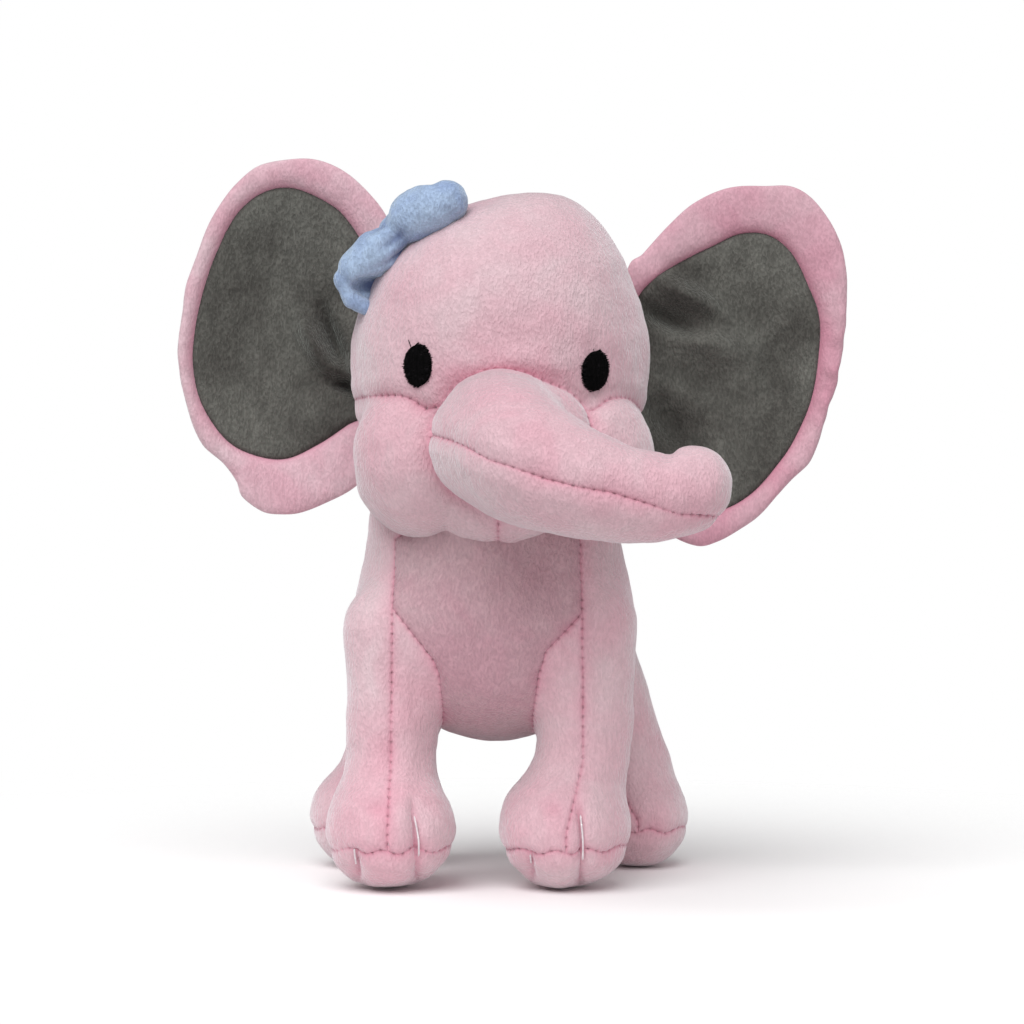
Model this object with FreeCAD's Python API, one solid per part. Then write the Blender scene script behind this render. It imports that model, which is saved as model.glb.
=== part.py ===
"""Stuffed elephant, standing on four legs, sewn from short-pile plush and filled with fibre.

Millimetres, +Z up. The origin is on the floor under the middle of the toy's box. The elephant
faces -Y, so its own left side is at +X. Every fabric panel is a shell of the fabric's thickness
over a stuffing core. Each limb, ear, trunk segment and the head turns about its sewn root, which
is modelled as a ball or bead in a pocket, with a slot as wide as the fabric there lets it swing.
"""
import FreeCAD
import Part
import math
import os

V = FreeCAD.Vector

# ---- driving dimensions -------------------------------------------------------------------
FABRIC = 1.6              # thickness of the plush with its pile pressed
LAYER_GAP = 0.05          # between a skin and the stuffing behind it
PLAY = 0.4                # between a ball or bead and its pocket
FAR = 150.0               # larger than any piece, for cutting tools

BODY_X = -5.0             # the toy's middle plane
LEAN_X = -6.0             # middle of the torso

HEAD_C = V(-4.5, 11.0, 178.0)
HEAD_R, HEAD_RZ = 50.5, 58.6
HEAD_TILT = 8.0           # degrees that the head leans to its own left
CHEEK_R = 26.0
CHEEK_C = {"right": V(-29.5, -11.0, 143.5), "left": V(22.0, -11.0, 143.5)}
CHIN_C, CHIN_R = V(-4.5, -7.0, 136.0), 21.0
CHEEK_SEAM_Z = 163.0      # the crown panel ends here, the cheeks begin
BACK_SEAM_Y = 30.0        # the crown panel meets the back of the head here

NECK_P, NECK_BALL_R = V(-5.0, 9.0, 122.0), 24.0
NECK_TILT = 17.6          # degrees that the neck opening leans towards the chest
NECK_FLARE = 4.4          # half the angle between the head's rim and the torso's

TORSO_C, TORSO_R = V(LEAN_X, 29.0, 90.0), 41.0
TORSO_HALF = 10.0         # half the length of the torso's straight middle
BELLY_HALF = 28.0         # half the belly panel's width

EYE_W, EYE_H, EYE_T = 9.6, 13.8, 1.0
EYE_XZ = {"right": (-30.8, 175.6), "left": (27.6, 174.0)}

# trunk centreline: (point, radius); the second segment starts at the third point
TRUNK = [(V(-2, -25, 154), 21.0), (V(-3, -55, 149), 20.5), (V(14, -75, 138.5), 18.0),
         (V(40, -78, 131.5), 14.2), (V(54.5, -74, 133.5), 12.7)]
TRUNK_SWING = (-15.0, 5.0)
TRUNK_SET_BACK = 11.5      # the root segment stops this far before the bend: the tip curls

EAR_T = 6.4               # padded thickness
EAR_CUP_R = 110.0         # radius of the ear's hollow
EAR_BEAD_R = 3.5
EAR_INSET = 0.955         # padding's outline as a share of the ear's
EAR_FLAP = (-20.0, 20.0)
EAR_Y = 24.0
EARS = {
    "right": {
        "hinge_x": -45.5, "slot": (136.0, 222.0), "bead": (148.0, 202.0),
        "outline": [(-45.5, 212), (-45, 228), (-59.9, 251), (-75, 253.7), (-92, 247),
                    (-109.8, 214.5), (-116.4, 184), (-110, 155), (-97, 142), (-88, 128.5),
                    (-72, 128.5), (-54, 141), (-45.5, 148)],
        "lining": [(-48, 208), (-58.2, 227.4), (-77.4, 241), (-94.8, 234.4), (-108, 205),
                   (-112, 182), (-105, 158), (-91.3, 146.2), (-76, 146), (-61.7, 154.2),
                   (-48, 163)],
    },
    "left": {
        "hinge_x": 36.5, "slot": (126.0, 220.0), "bead": (146.0, 207.0),
        "outline": [(36.5, 207), (52, 222.4), (72, 239.2), (95, 242.1), (110.8, 228.5),
                    (116.6, 208), (113.6, 171.7), (104.6, 143.8), (84.7, 122.9),
                    (67.3, 115.2), (52, 124), (44, 136), (36.5, 146)],
        "lining": [(40, 196), (51.6, 206.5), (68, 218), (86, 223), (99, 215), (107.2, 193),
                   (102.1, 166.4), (93.4, 142), (76, 128.8), (60, 126), (46, 140)],
    },
}

BOW_C = V(-38.0, 0.0, 215.0)
BOW_ALONG = V(0.74, -0.20, 0.64)
BOW_LIFT = 7.8            # middle of the bow above the crown
LOOP_R = (14.5, 14.0, 7.5)
LOOP_OUT = 15.5
BAND_R, BAND_W = 6.5, 7.0

# legs: hip pivot, foot centre, leg and foot radius, swing
LEGS = {
    "front_leg_right": (V(-40.6, 3, 95), V(-40.4, -6, 19.6), 15.0, 22.0, (-20.0, 6.0)),
    "front_leg_left": (V(24.4, 3, 95), V(17.5, -6, 20.0), 17.0, 22.4, (-20.0, 6.0)),
    "rear_leg_right": (V(-39.0, 59, 72), V(-54.0, 56, 17.5), 16.0, 19.5, (-6.0, 20.0)),
    "rear_leg_left": (V(28.0, 59, 72), V(44.0, 56, 17.5), 16.0, 19.5, (-6.0, 20.0)),
}
SOLE_TOP = 14.0           # the sole panel is sewn on at this height
ANKLE_Z = 44.0            # the foot has narrowed to the leg here
# how far each foot's two toe stitches are from its middle
TOE_OFFSETS = {"front_leg_right": (-11.2, 10.2), "front_leg_left": (-11.9, 5.6)}
THREAD_R = 0.45

TAIL_ROOT, TAIL_END = V(LEAN_X, 78.5, 90), V(LEAN_X, 88.5, 50)
TAIL_R = 4.5
TAIL_LIFT = (0.0, 60.0)


# ---- small helpers ------------------------------------------------------------------------
def ball(centre, radius):
    return Part.makeSphere(radius, centre)


def spheroid(centre, r, rz):
    """A solid of revolution with radius r and half height rz, its axis leaning as the head does."""
    if rz > r:
        curve = Part.Ellipse(V(0, 0, rz), V(r, 0, 0), V(0, 0, 0))
        arc = Part.ArcOfEllipse(curve, 0, math.pi).toShape()
    else:
        curve = Part.Ellipse(V(r, 0, 0), V(0, 0, rz), V(0, 0, 0))
        arc = Part.ArcOfEllipse(curve, -math.pi / 2, math.pi / 2).toShape()
    axis_line = Part.makeLine(V(0, 0, -rz), V(0, 0, rz))
    face = Part.Face(Part.Wire([arc, axis_line]))
    solid = Part.Solid(face.revolve(V(0, 0, 0), V(0, 0, 1), 360))
    if solid.Volume < 0:
        solid.reverse()
    solid.rotate(V(0, 0, 0), V(0, 1, 0), HEAD_TILT)
    solid.translate(centre)
    return solid


def frustum(a, b, ra, rb):
    """A cone frustum or cylinder from a to b."""
    along = b - a
    if abs(ra - rb) < 0.01:
        return Part.makeCylinder(ra, along.Length, a, along)
    return Part.makeCone(ra, rb, along.Length, a, along)


def union(shapes):
    return shapes[0].fuse(shapes[1:]).removeSplitter() if len(shapes) > 1 else shapes[0]


def box(x0, x1, y0, y1, z0, z1):
    return Part.makeBox(x1 - x0, y1 - y0, z1 - z0, V(x0, y0, z0))


def place(shape, origin, x_dir, z_dir):
    """Moves a shape from its own axes to origin, with its X along x_dir and its Z along z_dir."""
    z = V(z_dir).normalize()
    x = (V(x_dir) - z * V(x_dir).dot(z)).normalize()
    y = z.cross(x)
    matrix = FreeCAD.Matrix(x.x, y.x, z.x, origin.x, x.y, y.y, z.y, origin.y,
                            x.z, y.z, z.z, origin.z, 0, 0, 0, 1)
    shape.Placement = FreeCAD.Placement(matrix)
    return shape


def swing_room(pivot, axis, rest, half_thick, reach, low, high, swing):
    """The room that a limb needs: half_thick either side of rest, turned through swing degrees
    about axis, from low to high along that axis."""
    height = high - low
    tool = [Part.makeCylinder(half_thick, height, V(0, 0, low))]
    for angle in swing:
        arm = box(0, reach, -half_thick, half_thick, low, high)
        arm.rotate(V(0, 0, 0), V(0, 0, 1), angle)
        tool.append(arm)
    fan = Part.makeCylinder(reach, height, V(0, 0, low), V(0, 0, 1), swing[1] - swing[0])
    fan.rotate(V(0, 0, 0), V(0, 0, 1), swing[0])
    tool.append(fan)
    return place(union(tool), pivot, rest, axis)


def neck_tool(side):
    """What is cut from the head (side 1) or from the torso (side -1) so that the head can nod."""
    rise = FAR * math.tan(math.radians(NECK_FLARE))
    half_play = PLAY / 2
    points = [V(0, 0, half_play * side), V(FAR, 0, (rise + half_play) * side),
              V(FAR, 0, -FAR * side), V(0, 0, -FAR * side)]
    face = Part.Face(Part.makePolygon(points + points[:1]))
    tool = Part.Solid(face.revolve(V(0, 0, 0), V(0, 0, 1), 360))
    if tool.Volume < 0:
        tool.reverse()
    tilt = math.radians(NECK_TILT)
    return place(tool, NECK_P, V(1, 0, 0), V(0, -math.sin(tilt), math.cos(tilt)))


def skin_and_core(shape_at):
    """(shell, core) of a stuffed piece. shape_at(depth) is the piece's solid, depth inside its
    outer face."""
    return (shape_at(0).cut(shape_at(FABRIC)).removeSplitter(),
            shape_at(FABRIC + LAYER_GAP))


# ---- head ---------------------------------------------------------------------------------
def head_blob(depth):
    parts = [spheroid(HEAD_C, HEAD_R - depth, HEAD_RZ - depth), ball(CHIN_C, CHIN_R - depth)]
    parts += [ball(c, CHEEK_R - depth) for c in CHEEK_C.values()]
    return union(parts)


def ear_angle(side):
    """How far the ear's root leans back from straight sideways, in degrees."""
    ear = EARS[side]
    middle = (min(p[0] for p in ear["outline"]) + max(p[0] for p in ear["outline"])) / 2
    return math.degrees(math.asin(abs(middle - ear["hinge_x"]) / EAR_CUP_R))


def ear_axis(side):
    """Positive turns flap either ear forward."""
    return V(0, 0, 1) if side == "right" else V(0, 0, -1)


def ear_slot(side):
    ear = EARS[side]
    out = -1 if side == "right" else 1
    lean = math.radians(ear_angle(side))
    rest = V(out * math.cos(lean), math.sin(lean), 0)
    low, high = ear["slot"]
    if side == "left":
        low, high = -high, -low
    return swing_room(V(ear["hinge_x"], EAR_Y, 0), ear_axis(side), rest,
                      EAR_T / 2 + 2.5 * PLAY, 60.0, low, high, EAR_FLAP)


def trunk_room():
    """The trunk's own root, turned through its swing in a few steps, with room to spare."""
    root, first = TRUNK[0], TRUNK[1]
    end = root[0] + (first[0] - root[0]) * 2
    tool = []
    steps = 3
    for step in range(steps + 1):
        angle = TRUNK_SWING[0] + (TRUNK_SWING[1] - TRUNK_SWING[0]) * step / steps
        arm = Part.makeCylinder(root[1] + 1.5 * PLAY, (end - root[0]).Length, root[0], end - root[0])
        arm.rotate(root[0], V(0, 0, 1), angle)
        tool.append(arm)
    return tool


def head_pieces():
    tools = [neck_tool(1), ball(NECK_P, NECK_BALL_R + PLAY), *trunk_room(),
             ball(TRUNK[0][0], TRUNK[0][1] + PLAY), ear_slot("right"), ear_slot("left")]
    shell, core = skin_and_core(head_blob)
    shell, core = shell.cut(tools), core.cut(tools)
    front = box(-FAR, FAR, -FAR, BACK_SEAM_Y, -FAR, 2 * FAR)
    upper = box(-FAR, FAR, -FAR, FAR, CHEEK_SEAM_Z, 2 * FAR)
    to_right = box(-FAR, BODY_X, -FAR, FAR, -FAR, 2 * FAR)
    jaw = shell.common(front).cut(upper)
    back = shell.cut(front)
    pieces = {
        "head_stuffing": core,
        "crown_panel": shell.common(front).common(upper),
        "cheek_panel_right": jaw.common(to_right),
        "cheek_panel_left": jaw.cut(to_right),
        "back_head_panel_right": back.common(to_right),
        "back_head_panel_left": back.cut(to_right),
    }
    cover = spheroid(HEAD_C, HEAD_R + EYE_T, HEAD_RZ + EYE_T)
    under = spheroid(HEAD_C, HEAD_R + LAYER_GAP, HEAD_RZ + LAYER_GAP)
    for side, (x, z) in EYE_XZ.items():
        oval = Part.Ellipse(V(x, -FAR, z + EYE_H / 2), V(x + EYE_W / 2, -FAR, z), V(x, -FAR, z))
        stamp = Part.Face(Part.Wire([oval.toShape()])).extrude(V(0, FAR, 0))
        pieces["eye_" + side] = cover.common(stamp).cut(under)
    return pieces


# ---- bow ----------------------------------------------------------------------------------
def bow_frame():
    """(centre, along, outward) of the bow, which lies on the crown."""
    lean = FreeCAD.Rotation(V(0, 1, 0), HEAD_TILT)
    d = lean.inverted().multVec(BOW_C - HEAD_C)
    out = V(d.x / HEAD_R ** 2, d.y / HEAD_R ** 2, d.z / HEAD_RZ ** 2)
    size = math.sqrt(d.x ** 2 / HEAD_R ** 2 + d.y ** 2 / HEAD_R ** 2 + d.z ** 2 / HEAD_RZ ** 2)
    out.normalize()
    return HEAD_C + lean.multVec(d / size + out * BOW_LIFT), BOW_ALONG, lean.multVec(out)


def bow_pieces():
    centre, along, out = bow_frame()
    scale = FreeCAD.Matrix()
    scale.scale(*LOOP_R)
    band = Part.makeCylinder(BAND_R, BAND_W, V(-BAND_W / 2, 0, 0), V(1, 0, 0))
    loops = {}
    for name, side in (("bow_loop_lower", -1), ("bow_loop_upper", 1)):
        loop = Part.makeSphere(1.0).transformGeometry(scale)
        loop.translate(V(side * LOOP_OUT, 0, 0))
        loops[name] = place(loop.cut(band), centre, along, out)
    return {**loops, "bow_band": place(band, centre, along, out)}


# ---- trunk --------------------------------------------------------------------------------
def chain(links, depth):
    """Balls joined by frustums, all depth inside their outer face."""
    parts = [ball(p, r - depth) for p, r in links]
    for (a, ra), (b, rb) in zip(links, links[1:]):
        parts.append(frustum(a, b, ra - depth, rb - depth))
    return union(parts)


def trunk_seam():
    """Everything above the seam that runs along both sides of the trunk."""
    a, b, c = TRUNK[0][0], TRUNK[2][0], TRUNK[4][0]
    up = (b - a).cross(c - b)
    if up.z < 0:
        up = up * -1
    return place(box(-FAR, FAR, -FAR, FAR, 0, FAR), b, V(1, 0, 0), up)


def trunk_pieces():
    bend, bend_r = TRUNK[2]
    along = (bend - TRUNK[1][0]).normalize()
    past = place(box(-FAR, FAR, -FAR, FAR, -TRUNK_SET_BACK, FAR), bend, V(0, 0, 1), along)
    above = trunk_seam()
    pieces = {}
    for name, links in (("trunk_root", TRUNK[:3]), ("trunk_tip", TRUNK[2:])):
        shell, core = skin_and_core(lambda depth: chain(links, depth))
        if name == "trunk_root":
            tools = [ball(bend, bend_r + PLAY), past]
            shell, core = shell.cut(tools), core.cut(tools)
        pieces[name + "_stuffing"] = core
        pieces[name + "_upper_panel"] = shell.common(above)
        pieces[name + "_lower_panel"] = shell.cut(above)
    return pieces


# ---- ears ---------------------------------------------------------------------------------
def outline_prism(points, share=1.0):
    """The closed curve through points (x, z), shrunk about its middle, carried along Y."""
    cx = sum(p[0] for p in points) / len(points)
    cz = sum(p[1] for p in points) / len(points)
    curve = Part.BSplineCurve()
    curve.interpolate([V(cx + (x - cx) * share, EAR_Y - 60, cz + (z - cz) * share)
                       for x, z in points], PeriodicFlag=True)
    return Part.Face(Part.Wire([curve.toShape()])).extrude(V(0, 120, 0))


def ear_pieces(side):
    ear = EARS[side]
    hinge_x = ear["hinge_x"]
    middle = (min(p[0] for p in ear["outline"]) + max(p[0] for p in ear["outline"])) / 2
    dx = middle - hinge_x
    axis_y = EAR_Y - math.sqrt(EAR_CUP_R ** 2 - dx ** 2)

    def layer(front, back, prism):
        """A cupped sheet between two depths behind the ear's middle surface."""
        outer = Part.makeCylinder(EAR_CUP_R + back, 2 * FAR, V(middle, axis_y, 0))
        inner = Part.makeCylinder(EAR_CUP_R + front, 2 * FAR, V(middle, axis_y, 0))
        return prism.common(outer.cut(inner))

    half = EAR_T / 2
    whole = outline_prism(ear["outline"])
    inset = outline_prism(ear["outline"], EAR_INSET)
    lining = outline_prism(ear["lining"])
    head_side = box(hinge_x, FAR, -FAR, FAR, 0, 2 * FAR)
    if side == "left":
        head_side = box(-FAR, hinge_x, -FAR, FAR, 0, 2 * FAR)
    low, high = ear["bead"]
    bead = Part.makeCylinder(EAR_BEAD_R, high - low, V(hinge_x, EAR_Y, low))
    tray = layer(-half + FABRIC, half, whole).cut(layer(-half + FABRIC, half - FABRIC, inset))
    front = layer(-half, -half + FABRIC, whole)
    return {
        f"ear_{side}_back_panel": tray.cut(head_side).fuse(bead).removeSplitter(),
        f"ear_{side}_padding": layer(-half + FABRIC, half - FABRIC, inset).cut([head_side, bead]),
        f"ear_{side}_rim": front.cut([lining, head_side, bead]),
        f"ear_{side}_lining": front.common(lining).cut([head_side, bead]),
    }


# ---- torso --------------------------------------------------------------------------------
def leg_room(name):
    hip, foot, leg_r, foot_r, swing = LEGS[name]
    inner = leg_r + PLAY
    # the slot is open to the outside, and as deep as the leg is wide
    low, high = (-FAR, inner) if name.endswith("right") else (-inner, FAR)
    return swing_room(hip, V(1, 0, 0), V(0, 0, -1), leg_r + PLAY, 90.0, low, high, swing)


def tail_room():
    along = TAIL_END - TAIL_ROOT
    half = TAIL_R + PLAY
    return swing_room(TAIL_ROOT, V(1, 0, 0), along, half, 60.0, -half, half, TAIL_LIFT)


def torso_pieces():
    rooms = [leg_room(name) for name in LEGS] + [tail_room()]
    half = V(0, TORSO_HALF, 0)
    ends = [(TORSO_C - half, TORSO_R), (TORSO_C + half, TORSO_R)]
    shell, core = skin_and_core(lambda depth: chain(ends, depth))
    neck = ball(NECK_P, NECK_BALL_R)
    shell = shell.cut([neck_tool(-1), ball(NECK_P, NECK_BALL_R + LAYER_GAP)])
    core = core.cut(neck_tool(-1)).fuse(neck).cut(rooms)
    below = place(box(-FAR, FAR, -FAR, FAR, 5.0, FAR), TORSO_C, V(1, 0, 0), V(0, -0.6, -0.8))
    strip = box(LEAN_X - BELLY_HALF, LEAN_X + BELLY_HALF, -FAR, FAR, 0, FAR).common(below)
    to_right = box(-FAR, LEAN_X, -FAR, FAR, 0, FAR)
    flanks = shell.cut(strip)
    return {
        "torso_stuffing": core,
        "belly_panel": shell.common(strip).cut(rooms),
        "flank_panel_right": flanks.common(to_right).cut(rooms),
        "flank_panel_left": flanks.cut(to_right).cut(rooms),
    }


# ---- legs ---------------------------------------------------------------------------------
def leg_blob(name, depth):
    hip, foot, leg_r, foot_r, _ = LEGS[name]
    ankle = V(hip.x, hip.y, ANKLE_Z) if name.startswith("front") else foot + (hip - foot) * 0.45
    parts = [ball(hip, leg_r - depth), frustum(hip, ankle, leg_r - depth, leg_r - depth),
             ball(ankle, leg_r - depth), frustum(foot, ankle, foot_r - 1 - depth, leg_r - depth),
             ball(foot, foot_r - depth)]
    return union(parts).cut(box(-FAR, FAR, -FAR, FAR, -FAR, depth))


def toe_threads(foot, foot_r, offsets):
    """Two pulled threads round the toe, from the top of the foot to the sole."""
    threads = []
    for offset in offsets:
        ring_r = math.sqrt((foot_r + THREAD_R + LAYER_GAP) ** 2 - offset ** 2)
        ring = Part.makeTorus(ring_r, THREAD_R, V(0, 0, 0), V(0, 0, 1), -180, 180, 80)
        ring = place(ring, V(foot.x + offset, foot.y, foot.z), V(0, -0.55, -0.84), V(-1, 0, 0))
        threads.append(ring)
    return Part.makeCompound(threads)


def leg_pieces(name):
    hip, foot, leg_r, foot_r, _ = LEGS[name]
    shell, core = skin_and_core(lambda depth: leg_blob(name, depth))
    sole_zone = box(-FAR, FAR, -FAR, FAR, -FAR, SOLE_TOP)
    seam = foot.x * 0.5 + hip.x * 0.5
    to_right = box(-FAR, seam, -FAR, FAR, -FAR, FAR)
    upper = shell.cut(sole_zone)
    outer, inner = upper.common(to_right), upper.cut(to_right)
    if name.endswith("left"):
        outer, inner = inner, outer
    pieces = {
        name + "_stuffing": core,
        name + "_outer_panel": outer,
        name + "_inner_panel": inner,
        name + "_sole": shell.common(sole_zone),
    }
    if name in TOE_OFFSETS:
        pieces[name + "_toe_threads"] = toe_threads(foot, foot_r, TOE_OFFSETS[name])
    return pieces


# ---- tail ---------------------------------------------------------------------------------
def tail_pieces():
    skin, core = skin_and_core(
        lambda depth: chain([(TAIL_ROOT, TAIL_R), (TAIL_END, TAIL_R)], depth))
    return {"tail_skin": skin, "tail_stuffing": core}


# ---- everything ---------------------------------------------------------------------------
def all_pieces():
    pieces = {**torso_pieces(), **head_pieces(), **bow_pieces(), **trunk_pieces()}
    for side in EARS:
        pieces.update(ear_pieces(side))
    for name in LEGS:
        pieces.update(leg_pieces(name))
    pieces.update(tail_pieces())
    return pieces


def main():
    os.makedirs("parts", exist_ok=True)
    for name, shape in all_pieces().items():
        solids = shape.Solids
        whole = solids[0] if len(solids) == 1 else Part.makeCompound(solids)
        print(f"{name}: {len(solids)} solid(s), {whole.Volume:.0f} mm3, valid {whole.isValid()}")
        whole.exportStep(f"parts/{name}.step")


main()
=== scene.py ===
"""The stuffed elephant's looks. Lengths are in millimetres until a mesh is made, then metres."""
import math

import bpy
import numpy as np
import openvdb
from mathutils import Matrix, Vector, kdtree


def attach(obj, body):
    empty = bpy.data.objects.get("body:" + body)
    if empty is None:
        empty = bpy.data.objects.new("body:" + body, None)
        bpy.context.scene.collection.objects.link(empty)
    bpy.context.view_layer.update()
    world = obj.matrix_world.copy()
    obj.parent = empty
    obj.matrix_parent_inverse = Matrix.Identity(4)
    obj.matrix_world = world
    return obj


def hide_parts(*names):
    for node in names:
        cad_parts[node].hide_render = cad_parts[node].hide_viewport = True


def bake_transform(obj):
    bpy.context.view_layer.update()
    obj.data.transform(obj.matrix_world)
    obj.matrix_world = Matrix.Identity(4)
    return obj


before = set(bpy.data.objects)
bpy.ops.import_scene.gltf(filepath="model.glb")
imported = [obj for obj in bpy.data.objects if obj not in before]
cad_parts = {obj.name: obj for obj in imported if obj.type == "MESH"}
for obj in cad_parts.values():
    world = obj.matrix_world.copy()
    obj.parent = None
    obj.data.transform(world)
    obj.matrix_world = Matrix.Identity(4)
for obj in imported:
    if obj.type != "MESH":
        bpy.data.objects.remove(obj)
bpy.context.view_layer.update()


# ---- camera, light, floor -----------------------------------------------------------------
CAMERA_PLACE = (0.0, -0.875, 0.1206)
CAMERA_TILT = 90.43       # degrees from looking straight down
CAMERA_LENS = 90.46
FLOOR_SIDE = 1.2
FLOOR_FADE = (0.12, 0.5)  # from the middle of the floor, where it starts to fade and where it is gone
WORLD_LIGHT, WORLD_SEEN = 0.40, 1.0


def make_camera():
    camera = bpy.data.objects.new("camera", bpy.data.cameras.new("camera"))
    bpy.context.collection.objects.link(camera)
    camera.location = CAMERA_PLACE
    camera.rotation_euler = (math.radians(CAMERA_TILT), 0, 0)
    camera.data.lens = CAMERA_LENS
    camera.data.clip_end = 20
    bpy.context.scene.camera = camera


def aim(lamp, place, target):
    lamp.location = place
    lamp.rotation_euler = (Vector(target) - Vector(place)).to_track_quat("-Z", "Y").to_euler()


def add_light(name, kind, place, power, size):
    """A soft light pointed at the toy. size is an area's side in metres or a sun's angle in degrees."""
    light = bpy.data.lights.new(name, kind)
    light.energy = power
    if kind == "AREA":
        light.size = size
    else:
        light.angle = math.radians(size)
    lamp = bpy.data.objects.new(name, light)
    bpy.context.collection.objects.link(lamp)
    aim(lamp, place, (0, 0, 0.13))


def make_floor():
    """A pale floor that fades out into the world."""
    bpy.ops.mesh.primitive_plane_add(size=FLOOR_SIDE, location=(0, 0, 0))
    floor = bpy.context.object
    floor.name = "floor"
    mat = bpy.data.materials.new("floor")
    mat.use_nodes = True
    nodes, links = mat.node_tree.nodes, mat.node_tree.links
    bsdf = nodes["Principled BSDF"]
    bsdf.inputs["Base Color"].default_value = (0.95, 0.95, 0.95, 1)
    bsdf.inputs["Roughness"].default_value = 0.9
    coords = nodes.new("ShaderNodeTexCoord")
    away = nodes.new("ShaderNodeVectorMath")
    away.operation = "LENGTH"
    links.new(coords.outputs["Object"], away.inputs[0])
    fade = nodes.new("ShaderNodeMapRange")
    fade.interpolation_type = "SMOOTHSTEP"
    for key, number in zip(("From Min", "From Max", "To Min", "To Max"), (*FLOOR_FADE, 1.0, 0.0)):
        fade.inputs[key].default_value = number
    links.new(away.outputs["Value"], fade.inputs["Value"])
    links.new(fade.outputs["Result"], bsdf.inputs["Alpha"])
    floor.data.materials.append(mat)


def make_world():
    """An even white world, which the camera sees brighter than it lights the toy."""
    world = bpy.data.worlds.new("world")
    world.use_nodes = True
    nodes, links = world.node_tree.nodes, world.node_tree.links
    seen = nodes.new("ShaderNodeLightPath")
    strength = nodes.new("ShaderNodeMapRange")
    strength.inputs["To Min"].default_value = WORLD_LIGHT
    strength.inputs["To Max"].default_value = WORLD_SEEN
    links.new(seen.outputs["Is Camera Ray"], strength.inputs["Value"])
    links.new(strength.outputs["Result"], nodes["Background"].inputs["Strength"])
    nodes["Background"].inputs["Color"].default_value = (1, 1, 1, 1)
    bpy.context.scene.world = world


def make_stage():
    make_floor()
    make_world()
    add_light("sky", "SUN", (-0.30, -0.80, 1.30), 2.7, 55)
    add_light("fill", "AREA", (0.6, -1.1, 0.45), 1.6, 0.9)
    bpy.context.scene.view_settings.view_transform = "Standard"


# ---- distance fields ----------------------------------------------------------------------
def smooth_min(a, b, k):
    """The lower of two fields, blended where they are within k of each other."""
    h = np.clip(0.5 + 0.5 * (b - a) / k, 0, 1)
    return b + (a - b) * h - k * h * (1 - h)


def smooth_max(a, b, k):
    return -smooth_min(-a, -b, k)


def ellipsoid(p, c, r):
    """About the distance to an ellipsoid with centre c and half axes r."""
    q = (p - np.array(c)) / np.array(r)
    k0 = np.sqrt((q ** 2).sum(-1)) + 1e-9
    k1 = np.sqrt(((q / np.array(r)) ** 2).sum(-1)) + 1e-9
    return k0 * (k0 - 1) / k1


def superellipsoid(p, r, n):
    """About the distance to an ellipsoid round the origin, squarer where n is above 2."""
    q = np.abs(p / np.array(r)) + 1e-9
    return ((q ** n).sum(-1) ** (1 / n) - 1) * min(r)


def round_cone(p, a, b, ra, rb):
    """Distance to the shape swept by a ball from a to b, whose radius goes from ra to rb."""
    a, b = np.array(a, float), np.array(b, float)
    t = np.clip(((p - a) @ (b - a)) / ((b - a) @ (b - a)), 0, 1)
    return np.linalg.norm(p - a - t[:, None] * (b - a), axis=1) - (ra + t * (rb - ra))


def tube(p, line):
    """Distance to a tube whose centreline points have the radius as their fourth number."""
    best = np.full(len(p), 1e9)
    for a, b in zip(line[:-1], line[1:]):
        best = np.minimum(best, round_cone(p, a[:3], b[:3], a[3], b[3]))
    return best


def ridge(p, a, b, width):
    """1 along the segment from a to b, fading out over width. Points may be in a plane or space."""
    a, b = np.array(a, float), np.array(b, float)
    t = np.clip(((p - a) @ (b - a)) / ((b - a) @ (b - a)), 0, 1)
    away = np.linalg.norm(p - a - t[..., None] * (b - a), axis=-1)
    return np.exp(-(away / width) ** 2) * (0.35 + 0.65 * np.sin(math.pi * t))


def spline(points, n, closed=False):
    """n points along a Catmull-Rom curve through points, of any width."""
    pts = np.array(points, float)
    m = len(pts)
    segments = m if closed else m - 1
    t = np.linspace(0, segments, n, endpoint=not closed)
    i = np.minimum(t.astype(int), segments - 1)
    f = (t - i)[:, None]

    def at(k):
        return pts[k % m] if closed else pts[np.clip(k, 0, m - 1)]
    p0, p1, p2, p3 = at(i - 1), at(i), at(i + 1), at(i + 2)
    return 0.5 * (2 * p1 + (p2 - p0) * f + (2 * p0 - 5 * p1 + 4 * p2 - p3) * f ** 2
                  + (3 * p1 - p0 - 3 * p2 + p3) * f ** 3)


def noise(p, size, seed=0):
    """Smooth noise of about the given feature size, from -1 to 1."""
    r = np.random.default_rng(seed)
    total = np.zeros(len(p))
    for _ in range(14):
        d = r.normal(size=3)
        d /= np.linalg.norm(d)
        total += np.sin(p @ d * (2 * math.pi / (size * r.uniform(0.75, 1.5))) + r.uniform(0, 6.28))
    return total / 4.5


# ---- meshes -------------------------------------------------------------------------------
SKIN_GRID = 1.15          # spacing of the grid that the head's and the body's fields are sampled on
SEAM_REACH = 10.0         # how far from a seam the cloth still feels it
SEAM_REFINED = (2.6, 1.1)  # distances from a seam within which the mesh is made finer, once each
STITCH = 3.3              # from one needle hole to the next
HOLE_R = 0.55


def gradient(field, p, e=0.05):
    """The field's unit normal at each point."""
    g = np.stack([field(p + e * d) - field(p - e * d) for d in np.eye(3)], 1)
    return g / (np.linalg.norm(g, axis=1)[:, None] + 1e-12)


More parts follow.
